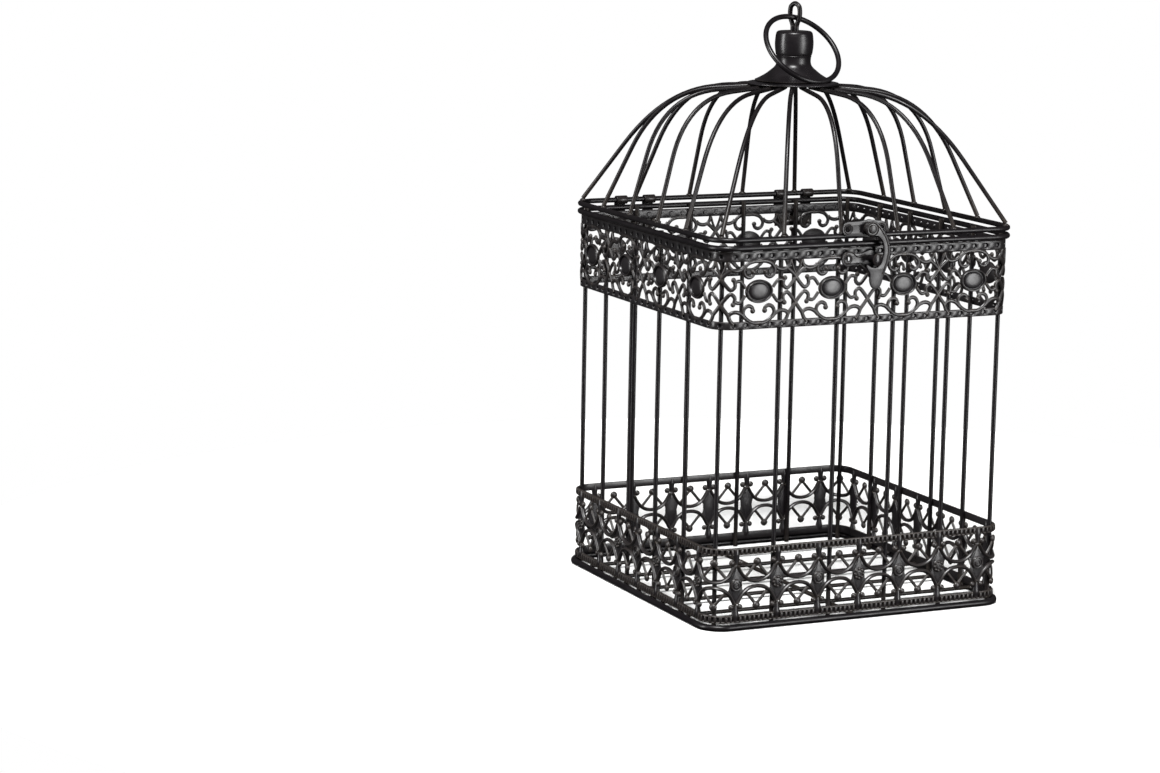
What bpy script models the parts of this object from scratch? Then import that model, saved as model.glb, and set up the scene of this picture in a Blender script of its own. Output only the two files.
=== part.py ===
"""Square wire cage box: a barred body, a domed lid on two rear hinges, a swing latch and a carry ring.

Metres, +Z up. Z = 0 is the surface the box stands on, the cage's axis is the Z axis, the latch faces -Y.
"""
from math import atan2, cos, hypot, pi, radians, sin

import bmesh
import bpy
from mathutils import Matrix, Vector
from mathutils.geometry import delaunay_2d_cdt

MM = 0.001
GAP = 0.3 * MM

# Plan: every ring and band is a square with round corners about the same four centres.
CORNER_CENTRE = 86.5 * MM
RING_HALF = 100.0 * MM
BASE_HALF = 100.4 * MM
BAND_HALF = 98.7 * MM
BAR_LINE = 96.5 * MM
BAR_SPACING = 38.0 * MM
CORNER_STEPS = 5

# Wires, by radius
BASE_WIRE = 2.1 * MM
RIM_WIRE = 1.7 * MM
LID_WIRE = 1.6 * MM
BAR_WIRE = 1.4 * MM
RIB_WIRE = 1.35 * MM
FLOOR_WIRE = 1.3 * MM
EYE_WIRE = 1.45 * MM
CARRY_WIRE = 1.6 * MM

# Heights
BAR_FOOT_Z = 0.6 * MM
LOWER_BAND_Z = 4.3 * MM
LOWER_BAND_HEIGHT = 44.9 * MM
RIM_Z = 226.1 * MM
LID_Z = 230.9 * MM
UPPER_BAND_HEIGHT = 45.4 * MM
UPPER_BAND_Z = RIM_Z - RIM_WIRE - GAP - UPPER_BAND_HEIGHT
BAR_TOP_Z = RIM_Z + 1.1 * MM
BAND_THICKNESS = 1.0 * MM
BORDER = 5.4 * MM

# Floor: rows of wire from side to side, welded onto one rail from front to back
FLOOR_ROWS = 5
FLOOR_SPACING = 34.0 * MM
FLOOR_REACH = 98.0 * MM
FLOOR_SIDES = 8
RAIL_Z = FLOOR_WIRE * cos(pi / FLOOR_SIDES)
ROW_Z = RAIL_Z + 2.2 * MM

# Dome: ribs run straight to one shoulder ring, then over it to the crown
SHOULDER_R = 81.0 * MM
SHOULDER_Z = 305.4 * MM
CROWN_R = 28.0 * MM
CROWN_Z = 311.0 * MM
CROWN_TOP_R = 20.0 * MM
CROWN_RISE = 0.9 * MM
CROWN_SHEET = 1.0 * MM
RIB_END_R = 16.0 * MM
RIB_SLOPE = 0.08
BEND_START = 0.5
BEND_STOP = 0.65
BEND_STEPS = 6

# Cap, eye and carry ring
CAP_BASE_Z = CROWN_Z + CROWN_SHEET + CROWN_RISE + GAP
CAP_PROFILE = ((23.5, 0.0), (23.3, 0.9), (19.0, 2.8), (15.0, 5.6), (12.0, 8.2), (10.6, 10.6),
               (10.5, 14.0), (11.3, 17.0), (11.8, 22.5), (11.5, 28.0), (10.0, 30.0))
CAP_WALL = 1.2 * MM
STEM_R = 2.3 * MM
STEM_FOOT_Z = CROWN_Z - 0.4 * MM
STEM_TOP_Z = 346.1 * MM
EYE_HALF = ((2.2, 347.3), (3.4, 349.9), (4.1, 352.6), (4.1, 355.3), (3.2, 358.1), (1.7, 359.35))
EYE_FOOT_Z = 345.1
EYE_TOP_Z = 359.75
EYE_TURN = radians(20.0)
CARRY_RADIUS = 25.0 * MM
CARRY_PIVOT_Z = 351.3 * MM
CARRY_LEAN = radians(46.5)
CARRY_ROLL = radians(11.4)
CARRY_STEPS = 40

# Hinges, each straddling a rear rib
HINGE_X = 1.5 * BAR_SPACING
HINGE_SHEET = 0.8 * MM
KNUCKLE_BORE = 1.9 * MM
KNUCKLE_WIDTH = 7.5 * MM
KNUCKLE_OFFSET = 9.75 * MM
CURL_START = radians(-75)
CURL_STEP = radians(36)
CURL_POINTS = 8
LEAF_BEND_DROP = 2.4 * MM
LEAF_TOP_DROP = 5.2 * MM
KNUCKLE_LAP = 2.0 * MM
LEAF_BOTTOM_Z = 210.0 * MM

# Latch on the front
PLATE_FRONT = -102.0 * MM
PLATE_SHEET = 1.1 * MM
PIVOT_X = -2.8 * MM
PIVOT_Z = 235.2 * MM
HOOK_BACK = -106.2 * MM
HOOK_SHEET = 1.3 * MM
STUD_X = 0.2 * MM
STUD_Z = 217.2 * MM
STUD_WIRE = 1.6 * MM
STUD_HEAD = (2.9 * MM, 3.8 * MM)
STUD_HEAD_RINGS = ((0.0, 0.86), (0.6, 1.0), (1.2, 0.86), (1.6, 0.5))
STUD_HEAD_SIDES = 12
SEAT_R = 5.0
CATCH_LOBE = (-14.6, 4.6)
PLATE_LOBES = ((-13.6, 4.4), (7.6, 4.4))
PLATE_MIDDLE_R = 5.4
SCREW_HOLE_R = 1.7 * MM
SCREW_HOLE_SHIFT = 0.5
BARREL_R = 4.0 * MM
PIN_R = 1.7 * MM
PIN_HEAD = (2.7 * MM, 1.0 * MM)
HOOK_EYE_R = 4.7
HOOK_BORE_R = 2.1 * MM
HOOK_ARM_OUTER = ((6.4, 2.0), (9.8, -2.4), (12.1, -7.6), (12.7, -13.2), (11.6, -19.4), (9.4, -25.0),
                  (8.2, -30.6), (6.0, -35.0))
HOOK_LEAF = ((3.0, -36.4), (0.2, -34.8), (-0.6, -31.2), (1.0, -27.6), (4.8, -25.4))
HOOK_PRONG = ((4.2, -23.4), (2.4, -21.2), (4.0, -20.8), (7.4, -19.8))
HOOK_ARM_INNER = ((9.0, -14.0), (8.0, -8.0), (5.4, -4.6))

WIRE_SIDES = 8
RING_SIDES = 8


def clear_scene():
    for obj in list(bpy.data.objects):
        bpy.data.objects.remove(obj)


def coated_metal(name, grey, roughness):
    material = bpy.data.materials.new(name)
    material.use_nodes = True
    shader = material.node_tree.nodes["Principled BSDF"]
    shader.inputs["Base Color"].default_value = (grey, grey * 0.95, grey * 0.93, 1.0)
    shader.inputs["Metallic"].default_value = 0.35
    shader.inputs["Roughness"].default_value = roughness
    material.diffuse_color = (grey, grey * 0.95, grey * 0.93, 1.0)
    return material


def add_object(name, data, material):
    obj = bpy.data.objects.new(name, data)
    data.materials.append(material)
    bpy.context.scene.collection.objects.link(obj)
    return obj


def mesh_object(name, bm, material, smooth=True):
    bmesh.ops.remove_doubles(bm, verts=bm.verts, dist=0.01 * MM)
    bmesh.ops.recalc_face_normals(bm, faces=bm.faces)
    mesh = bpy.data.meshes.new(name)
    bm.to_mesh(mesh)
    bm.free()
    if smooth:
        mesh.shade_smooth()
        mesh.set_sharp_from_angle(angle=radians(50))
    return add_object(name, mesh, material)


def wire_object(name, points, radius, sides, material, closed=False, turn=0.0):
    """A wire along a list of points, as a bevelled curve with its ends filled."""
    curve = bpy.data.curves.new(name, "CURVE")
    curve.dimensions = "3D"
    curve.bevel_depth = radius
    curve.bevel_resolution = (sides - 4) // 2
    curve.use_fill_caps = True
    spline = curve.splines.new("POLY")
    spline.points.add(len(points) - 1)
    for slot, point in zip(spline.points, points):
        slot.co = (*point, 1.0)
        slot.tilt = turn
    spline.use_cyclic_u = closed
    return add_object(name, curve, material)


def round_square(half, z):
    """Points round a square of half-width half, with its corners struck from CORNER_CENTRE."""
    radius = half - CORNER_CENTRE
    points = []
    for corner in range(4):
        start = corner * pi / 2
        centre = Matrix.Rotation(start, 3, "Z") @ Vector((CORNER_CENTRE, CORNER_CENTRE, z))
        for step in range(CORNER_STEPS + 1):
            angle = start + step * pi / 2 / CORNER_STEPS
            points.append(centre + Vector((cos(angle), sin(angle), 0.0)) * radius)
    return points


def upright_places(line):
    """Name and plan position of the 20 uprights: one in each corner and four on each side."""
    corner = CORNER_CENTRE + (line - CORNER_CENTRE) / 2 ** 0.5
    places = []
    for turn, side in enumerate(("front", "right", "back", "left")):
        spin = Matrix.Rotation(turn * pi / 2, 2)
        for count in range(4):
            place = spin @ Vector(((count - 1.5) * BAR_SPACING, -line))
            places.append((f"{side}_{count + 1}", place))
        places.append((f"corner_{turn + 1}", spin @ Vector((corner, -corner))))
    return places


def combine(obj, tool, operation):
    """Joins tool to obj or cuts it out, with an exact Boolean, and removes tool."""
    modifier = obj.modifiers.new("combine", "BOOLEAN")
    modifier.operation = operation
    modifier.solver = "EXACT"
    modifier.object = tool
    graph = bpy.context.evaluated_depsgraph_get()
    obj.data = bpy.data.meshes.new_from_object(obj.evaluated_get(graph))
    obj.modifiers.clear()
    bpy.data.objects.remove(tool)


def union(obj, tool):
    combine(obj, tool, "UNION")


def drilled(obj, tool):
    combine(obj, tool, "DIFFERENCE")


def rod(bm, start, end, radius, sides, turn=0.0):
    """A straight rod between two points, added to a bmesh."""
    along = Vector(end) - Vector(start)
    place = Matrix.Translation((Vector(start) + Vector(end)) / 2)
    aim = along.to_track_quat("Z", "Y").to_matrix().to_4x4()
    spin = Matrix.Rotation(turn, 4, "Z")
    bmesh.ops.create_cone(bm, cap_ends=True, segments=sides, radius1=radius, radius2=radius,
                          depth=along.length, matrix=place @ aim @ spin)


def rod_object(name, start, end, radius, sides, material, turn=0.0):
    bm = bmesh.new()
    rod(bm, start, end, radius, sides, turn)
    return mesh_object(name, bm, material)


def plate_object(name, outline, back, thickness, material):
    """An outline of (x, z) points in a plane facing -Y, pulled forward from y = back."""
    bm = bmesh.new()
    face = bm.faces.new([bm.verts.new((x, back, z)) for x, z in outline])
    pulled = bmesh.ops.extrude_face_region(bm, geom=[face])["geom"]
    moved = [item for item in pulled if isinstance(item, bmesh.types.BMVert)]
    bmesh.ops.translate(bm, verts=moved, vec=(0.0, -thickness, 0.0))
    return mesh_object(name, bm, material, smooth=False)


def arc(x, z, radius, start, end, steps):
    """Points along an arc in the XZ plane, angles in degrees from +X."""
    points = []
    for step in range(steps + 1):
        angle = radians(start + (end - start) * step / steps)
        points.append((x + radius * cos(angle), z + radius * sin(angle)))
    return points


def in_metres(outline):
    return [(x * MM, z * MM) for x, z in outline]


# Body


def base_ring(material):
    turn = pi / RING_SIDES
    lift = BASE_WIRE * cos(turn)
    wire_object("base_ring", round_square(BASE_HALF, lift), BASE_WIRE, RING_SIDES, material, True, turn)


def floor_grid(material):
    """Rows of wire from side to side, welded onto one rail that runs from front to back."""
    flat = pi / FLOOR_SIDES
    grid = rod_object("floor_grid", (0, -FLOOR_REACH, RAIL_Z), (0, FLOOR_REACH, RAIL_Z),
                      FLOOR_WIRE, FLOOR_SIDES, material, flat)
    for row in range(FLOOR_ROWS):
        y = (row - (FLOOR_ROWS - 1) / 2) * FLOOR_SPACING
        union(grid, rod_object("row", (-FLOOR_REACH, y, ROW_Z), (FLOOR_REACH, y, ROW_Z),
                               FLOOR_WIRE, FLOOR_SIDES, material, flat))


def band_plan(s):
    """Plan position on the bands' middle surface at the distance s round from a corner's start."""
    radius = BAND_HALF - CORNER_CENTRE
    bend = radius * pi / 2
    side = bend + 2 * CORNER_CENTRE
    turn, rest = divmod(s, side)
    spin = Matrix.Rotation(turn * pi / 2, 2)
    if rest < bend:
        angle = rest / radius
        point = Vector((CORNER_CENTRE + radius * cos(angle), CORNER_CENTRE + radius * sin(angle)))
    else:
        point = Vector((CORNER_CENTRE - (rest - bend), BAND_HALF))
    return spin @ point


def band_object(name, bottom, height, cells, phase, holes, material):
    """A strip pierced by the same holes in every cell, bent round the square and thickened.

    Cell middles lie phase cells past a corner's middle, and the strip's ends meet where a cell is whole.
    """
    bend = (BAND_HALF - CORNER_CENTRE) * pi / 2
    side = bend + 2 * CORNER_CENTRE
    length = 4 * side
    cell = length / cells
    seam = bend / 2 + (phase if phase else -0.5) * cell
    verts = [Vector((seam, 0)), Vector((seam + length, 0)),
             Vector((seam + length, height)), Vector((seam, height))]
    faces = [[0, 1, 2, 3]]
    for count in range(cells):
        middle = bend / 2 + (count + phase) * cell
        for hole in holes:
            shift = length if middle + MM * sum(x for x, z in hole) / len(hole) < seam else 0.0
            start = len(verts)
            verts += [Vector((middle + shift + x * MM, z * MM)) for x, z in hole]
            faces.append(list(range(start, len(verts))))
    points, _, shapes, _, _, owners = delaunay_2d_cdt(verts, [], faces, 0, 1e-7)
    bm = bmesh.new()
    corners = [bm.verts.new((p.x, 0.0, p.y)) for p in points]
    for shape, owner in zip(shapes, owners):
        if list(owner) == [0]:
            bm.faces.new([corners[i] for i in shape])
    for turn in range(5):
        for step in range(CORNER_STEPS + 1):
            s = turn * side + step * bend / CORNER_STEPS
            geometry = list(bm.verts) + list(bm.edges) + list(bm.faces)
            bmesh.ops.bisect_plane(bm, geom=geometry, dist=1e-7, plane_co=(s, 0, 0), plane_no=(1, 0, 0))
    for vert in bm.verts:
        plan = band_plan(vert.co.x % length)
        vert.co = Vector((plan.x, plan.y, bottom + vert.co.z))
    loose = [vert for vert in bm.verts if not vert.link_faces]
    bmesh.ops.delete(bm, geom=loose, context="VERTS")
    obj = mesh_object(name, bm, material, smooth=False)
    thicken = obj.modifiers.new("thickness", "SOLIDIFY")
    thicken.thickness = BAND_THICKNESS
    thicken.offset = 0.0
    return obj


def lower_band(material):
    """Seven posts a side, with a U over an inverted U between each pair."""
    top = LOWER_BAND_HEIGHT / MM
    middle = top / 2
    edge = BORDER / MM
    over = [(-9.6, top - edge), (-8.6, top - 13), (-4.0, middle + 2.4),
            (4.0, middle + 2.4), (8.6, top - 13), (9.6, top - edge)]
    under = [(x, top - z) for x, z in reversed(over)]
    left = [(-9.4, middle - 4), (-5.2, middle), (-9.4, middle + 4)]
    right = [(-x, z) for x, z in reversed(left)]
    band_object("lower_band", LOWER_BAND_Z, LOWER_BAND_HEIGHT, 28, 0.0, (over, under, left, right), material)


def upper_band(material):
    """Four oval bosses a side inside scrolls, with a lozenge between each pair."""
    top = UPPER_BAND_HEIGHT / MM
    middle = top / 2
    edge = BORDER / MM
    quarter = [(3.0, top - edge), (3.6, middle + 10.4), (9.4, middle + 7.6), (12.2, middle + 1.5),
               (17.5, middle + 6.5), (16.0, top - edge)]
    mirrored = [(-x, z) for x, z in reversed(quarter)]
    below = [(x, top - z) for x, z in reversed(quarter)]
    below_mirrored = [(x, top - z) for x, z in reversed(mirrored)]
    apart = 24.1
    lozenge = [(apart - 3.6, middle), (apart, middle - 5.5), (apart + 3.6, middle), (apart, middle + 5.5)]
    holes = (quarter, mirrored, below, below_mirrored, lozenge)
    band_object("upper_band", UPPER_BAND_Z, UPPER_BAND_HEIGHT, 16, 0.5, holes, material)


def rim_ring(material):
    wire_object("rim_ring", round_square(RING_HALF, RIM_Z), RIM_WIRE, RING_SIDES, material, True)


def bars(material):
    for name, place in upright_places(BAR_LINE):
        rod_object(f"bar_{name}", (*place, BAR_FOOT_Z), (*place, BAR_TOP_Z), BAR_WIRE, WIRE_SIDES, material)


def hinge(name, x, material):
    """A strip curled loosely round the lid's ring at two places, and down behind the rim to a leaf."""
    middle = KNUCKLE_BORE + HINGE_SHEET / 2
    curl = [(RING_HALF + middle * cos(a), LID_Z + middle * sin(a))
            for a in (CURL_START - CURL_STEP * step for step in range(CURL_POINTS))]
    back = RING_HALF + middle
    leaf_y = BAND_HALF + BAND_THICKNESS / 2 + GAP + HINGE_SHEET / 2
    leaf_top = (leaf_y, RIM_Z - LEAF_TOP_DROP)
    leaf = strip_object(name, [leaf_top, (leaf_y, LEAF_BOTTOM_Z)],
                        x, 2 * KNUCKLE_OFFSET + KNUCKLE_WIDTH, material)
    for side in (-1, 1):
        reach = curl + [(back, LID_Z), (back, RIM_Z - LEAF_BEND_DROP), leaf_top,
                        (leaf_y, RIM_Z - LEAF_TOP_DROP - KNUCKLE_LAP)]
        union(leaf, strip_object("knuckle", reach, x + side * KNUCKLE_OFFSET, KNUCKLE_WIDTH, material))


def strip_object(name, path, x, width, material):
    """Sheet of HINGE_SHEET thickness following (y, z) points, width wide about x."""
    half = HINGE_SHEET / 2
    sides = ([], [])
    for count, point in enumerate(path):
        before = Vector(path[max(count - 1, 0)])
        after = Vector(path[min(count + 1, len(path) - 1)])
        here = Vector(point)
        first = (here - before).normalized() if count else (after - here).normalized()
        second = (after - here).normalized() if count < len(path) - 1 else first
        normal = Vector((-(first + second).y, (first + second).x)).normalized()
        stretch = half / max(normal.dot(Vector((-first.y, first.x))), 0.4)
        sides[0].append(here + normal * stretch)
        sides[1].append(here - normal * stretch)
    bm = bmesh.new()
    rows = []
    for edge in (-width / 2, width / 2):
        rows.append([[bm.verts.new((x + edge, p.x, p.y)) for p in line] for line in sides])
    near, far = rows
    for count in range(len(path) - 1):
        for row in (near, far):
            bm.faces.new((row[0][count], row[0][count + 1], row[1][count + 1], row[1][count]))
        for line in (0, 1):
            bm.faces.new((near[line][count], near[line][count + 1], far[line][count + 1], far[line][count]))
    for end in (0, -1):
        bm.faces.new((near[0][end], near[1][end], far[1][end], far[0][end]))
    return mesh_object(name, bm, material, smooth=False)


def screw_hole(plate, x, back, z, material):
    """Drills a fixing hole along Y through a plate whose rear face is at y = back."""
    reach = 3 * PLATE_SHEET
    hole = rod_object("hole", (x, back + MM, z), (x, back - reach, z), SCREW_HOLE_R, WIRE_SIDES, material)
    drilled(plate, hole)


def catch_plate(material):
    """Plate on the band, with a lobe at its left end and the stud's seat at its right."""
    back = -(BAND_HALF + BAND_THICKNESS / 2 + GAP)
    x, z = STUD_X / MM, STUD_Z / MM
    lobe_x, lobe_r = CATCH_LOBE
    outline = arc(x, z, SEAT_R, -140, 130, 9) + arc(x + lobe_x, z, lobe_r, 60, 300, 9)
    plate = plate_object("catch_plate", in_metres(outline), back, PLATE_SHEET, material)
    screw_hole(plate, (x + lobe_x - SCREW_HOLE_SHIFT) * MM, back, STUD_Z, material)


def catch_stud(material):
    """A peg with an oval head; the hook closes round the peg behind the head."""
    foot = -(BAND_HALF + BAND_THICKNESS / 2 + 2 * GAP + PLATE_SHEET)
    neck = HOOK_BACK - HOOK_SHEET - GAP
    tip = neck - 0.4 * MM
    stud = rod_object("catch_stud", (STUD_X, foot, STUD_Z), (STUD_X, tip, STUD_Z), STUD_WIRE, 10, material)
    width, height = STUD_HEAD
    turns = [2 * pi * step / STUD_HEAD_SIDES for step in range(STUD_HEAD_SIDES)]
    bm = bmesh.new()
    loops = []
    for depth, size in STUD_HEAD_RINGS:
        loops.append([bm.verts.new((STUD_X + width * size * cos(a), neck - depth * MM,
                                    STUD_Z + height * size * sin(a))) for a in turns])
    for lower, upper in zip(loops, loops[1:]):
        for step in range(STUD_HEAD_SIDES):
            other = (step + 1) % STUD_HEAD_SIDES
            bm.faces.new((lower[step], lower[other], upper[other], upper[step]))
    bm.faces.new(loops[0])
    bm.faces.new(loops[-1])
    union(stud, mesh_object("head", bm, material))


# Lid


def lid_ring(material):
    wire_object("lid_ring", round_square(RING_HALF, LID_Z), LID_WIRE, RING_SIDES, material, True)


def rib_path(foot_r, lean):
    """(r, z) points of a rib: straight from its foot, over the shoulder, then in under the crown."""
    foot = Vector((foot_r, LID_Z + LID_WIRE + GAP + RIB_WIRE * sin(lean)))
    shoulder = Vector((SHOULDER_R, SHOULDER_Z))
    crown = Vector((CROWN_R, CROWN_Z - GAP - 1.05 * RIB_WIRE))
    end = Vector((RIB_END_R, crown.y + (CROWN_R - RIB_END_R) * RIB_SLOPE))
    start = foot.lerp(shoulder, BEND_START)
    stop = shoulder.lerp(crown, BEND_STOP)
    points = [foot]
    for step in range(BEND_STEPS + 1):
        t = step / BEND_STEPS
        points.append(start.lerp(shoulder, t).lerp(shoulder.lerp(stop, t), t))
    return points + [crown, end]


def ribs(material):
    for name, place in upright_places(RING_HALF - 0.8 * MM):
        foot_r = hypot(*place)
        lean = atan2(foot_r - SHOULDER_R, SHOULDER_Z - LID_Z)
        points = [(r, 0.0, z) for r, z in rib_path(foot_r, lean)]
        rib = wire_object(f"rib_{name}", points, RIB_WIRE, WIRE_SIDES, material)
        rib.rotation_euler = (0.0, 0.0, atan2(place.y, place.x))


def turned_object(name, profile, steps, material):
    """Spins a closed (r, z) outline round the Z axis."""
    bm = bmesh.new()
    verts = [bm.verts.new((r, 0.0, z)) for r, z in profile]
    edges = [bm.edges.new((verts[i - 1], verts[i])) for i in range(len(verts))]
    bmesh.ops.spin(bm, geom=verts + edges, cent=(0, 0, 0), axis=(0, 0, 1), angle=2 * pi,
                   steps=steps, use_merge=True, use_duplicate=False)
    return mesh_object(name, bm, material)


def crown_disc(material):
    """Shallow dished washer that the ribs' upper ends are fixed under."""
    bore = STEM_R + GAP
    top = CROWN_Z + CROWN_RISE
    profile = [(bore, top), (CROWN_TOP_R, top), (CROWN_R, CROWN_Z), (CROWN_R, CROWN_Z + CROWN_SHEET),
               (CROWN_TOP_R, top + CROWN_SHEET), (bore, top + CROWN_SHEET)]
    turned_object("crown_disc", profile, 28, material)


def cap(material):
    """Hollow turned cap: a flared foot, a waisted neck and a flat top pierced for the stem."""
    bore = STEM_R + GAP
    outer = [(r * MM, CAP_BASE_Z + z * MM) for r, z in CAP_PROFILE]
    inner = [(r - CAP_WALL, z) for r, z in outer[2:-1]]
    inner[0] = (outer[0][0] - 2 * CAP_WALL, CAP_BASE_Z)
    inner[-1] = (inner[-1][0], outer[-1][1] - CAP_WALL)
    profile = outer + [(bore, outer[-1][1]), (bore, inner[-1][1])] + inner[::-1]
    turned_object("cap", profile, 24, material)


def eye_loop(material):
    """A long wire eye on a stem that runs down through the cap and the crown."""
    eye = rod_object("eye_loop", (0, 0, STEM_FOOT_Z), (0, 0, STEM_TOP_Z), STEM_R, 10, material)
    outline = [(0.0, EYE_FOOT_Z), *EYE_HALF, (0.0, EYE_TOP_Z)]
    outline += [(-across, z) for across, z in reversed(EYE_HALF)]
    heading = Vector((-sin(EYE_TURN), cos(EYE_TURN), 0.0))
    points = [heading * across * MM + Vector((0, 0, z * MM)) for across, z in outline]
    loop = wire_object("loop_path", points, EYE_WIRE, WIRE_SIDES, material, closed=True)
    graph = bpy.context.evaluated_depsgraph_get()
    mesh = bpy.data.meshes.new_from_object(loop.evaluated_get(graph))
    bpy.data.objects.remove(loop)
    union(eye, add_object("loop", mesh, material))


def latch_plate(material):
    """Lobed plate standing on the front of the lid's ring, with a fixing hole in each lobe."""
    x, z = PIVOT_X / MM, PIVOT_Z / MM
    (left_x, left_r), (right_x, right_r) = PLATE_LOBES
    outline = (arc(x + left_x, z, left_r, 110, 250, 6) + arc(x, z, PLATE_MIDDLE_R, 235, 305, 4)
               + arc(x + right_x, z, right_r, -70, 70, 6) + arc(x, z, PLATE_MIDDLE_R, 55, 125, 4))
    plate = plate_object("latch_plate", in_metres(outline), PLATE_FRONT, PLATE_SHEET, material)
    screw_hole(plate, (x + left_x - SCREW_HOLE_SHIFT) * MM, PLATE_FRONT, PIVOT_Z, material)
    screw_hole(plate, (x + right_x + SCREW_HOLE_SHIFT) * MM, PLATE_FRONT, PIVOT_Z, material)


def latch_pivot(material):
    """Barrel on the latch plate, with the pin and pin head that the hook turns on."""
    def round_bar(name, start, end, radius, sides):
        return rod_object(name, (PIVOT_X, start, PIVOT_Z), (PIVOT_X, end, PIVOT_Z), radius, sides, material)

    foot = PLATE_FRONT - PLATE_SHEET - GAP
    front = HOOK_BACK - HOOK_SHEET - GAP
    head_r, head_depth = PIN_HEAD
    barrel = round_bar("latch_pivot", foot, HOOK_BACK + GAP, BARREL_R, 14)
    union(barrel, round_bar("pin", foot - 0.5 * MM, front - 0.3 * MM, PIN_R, 10))
    union(barrel, round_bar("head", front, front - head_depth, head_r, 10))


def latch_hook(material):
    """Swing hook: an eye on the pin, an arm round the stud, a leaf for the thumb and a prong under the stud."""
    x, z = PIVOT_X / MM, PIVOT_Z / MM
    outline = arc(x, z, HOOK_EYE_R, 300, 60, 8)
    outline += [(x + a, z + b) for a, b in HOOK_ARM_OUTER + HOOK_LEAF + HOOK_PRONG + HOOK_ARM_INNER]
    hook = plate_object("latch_hook", in_metres(outline), HOOK_BACK, HOOK_SHEET, material)
    reach = 3 * HOOK_SHEET
    bore = rod_object("bore", (PIVOT_X, HOOK_BACK + MM, PIVOT_Z), (PIVOT_X, HOOK_BACK - reach, PIVOT_Z),
                      HOOK_BORE_R, 14, material)
    drilled(hook, bore)


def carry_ring(material):
    """Round ring through the eye, leaning forward and a little to one side; its origin is on its swing axis."""
    roll = Matrix.Rotation(CARRY_ROLL, 3, "Y")
    down = roll @ Vector((0, -cos(CARRY_LEAN), -sin(CARRY_LEAN)))
    across = roll @ Vector((1, 0, 0))
    points = []
    for step in range(CARRY_STEPS):
        angle = 2 * pi * step / CARRY_STEPS
        points.append(down * CARRY_RADIUS * (1 - cos(angle)) + across * CARRY_RADIUS * sin(angle))
    ring = wire_object("carry_ring", points, CARRY_WIRE, WIRE_SIDES, material, closed=True)
    ring.location = (0, 0, CARRY_PIVOT_Z)


def main():
    clear_scene()
    wire = coated_metal("satin_black_wire", 0.022, 0.38)
    sheet = coated_metal("satin_black_sheet", 0.03, 0.46)
    fitting = coated_metal("satin_black_fitting", 0.035, 0.34)
    base_ring(wire)
    floor_grid(wire)
    lower_band(sheet)
    upper_band(sheet)
    rim_ring(wire)
    bars(wire)
    hinge("hinge_left", -HINGE_X, fitting)
    hinge("hinge_right", HINGE_X, fitting)
    catch_plate(fitting)
    catch_stud(fitting)
    lid_ring(wire)
    ribs(wire)
    crown_disc(sheet)
    cap(fitting)
    eye_loop(wire)
    latch_plate(fitting)
    latch_pivot(fitting)
    latch_hook(fitting)
    carry_ring(wire)


main()
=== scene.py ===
# Square wire cage box with a domed lid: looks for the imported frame.
import random
from math import atan2, cos, pi, radians, sin

import bmesh
import bpy
from mathutils import Matrix, Vector


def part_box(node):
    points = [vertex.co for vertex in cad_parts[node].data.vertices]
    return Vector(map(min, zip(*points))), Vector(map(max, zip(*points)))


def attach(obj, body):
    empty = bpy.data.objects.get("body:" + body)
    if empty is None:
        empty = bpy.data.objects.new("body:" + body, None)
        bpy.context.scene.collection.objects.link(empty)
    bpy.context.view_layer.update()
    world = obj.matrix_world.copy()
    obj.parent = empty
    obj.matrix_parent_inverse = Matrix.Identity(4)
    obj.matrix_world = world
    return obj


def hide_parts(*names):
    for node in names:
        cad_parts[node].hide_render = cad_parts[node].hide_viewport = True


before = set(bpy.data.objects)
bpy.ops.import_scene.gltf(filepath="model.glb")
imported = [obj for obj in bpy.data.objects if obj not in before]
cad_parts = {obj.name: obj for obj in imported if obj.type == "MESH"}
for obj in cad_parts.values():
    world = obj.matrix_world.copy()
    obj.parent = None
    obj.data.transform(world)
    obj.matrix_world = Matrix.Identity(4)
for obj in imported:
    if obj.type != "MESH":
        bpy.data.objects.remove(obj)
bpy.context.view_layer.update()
random.seed(7)
mm = 0.001
print("frame loaded:", len(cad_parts), "CAD nodes")


# finishes

def linear(hexColour):
    parts = [int(hexColour[i:i + 2], 16) / 255 for i in (1, 3, 5)]
    return tuple(p / 12.92 if p <= 0.04045 else ((p + 0.055) / 1.055) ** 2.4 for p in parts) + (1.0,)


def addNode(tree, kind, settings=None, links=None, **attributes):
    # settings go by socket name or number; links are (socket, node, output)
    node = tree.nodes.new(kind)
    for key, value in attributes.items():
        setattr(node, key, value)
    for key, value in (settings or {}).items():
        node.inputs[key].default_value = value
    for socket, source, output in links or ():
        tree.links.new(source.outputs[output], node.inputs[socket])
    return node


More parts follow.
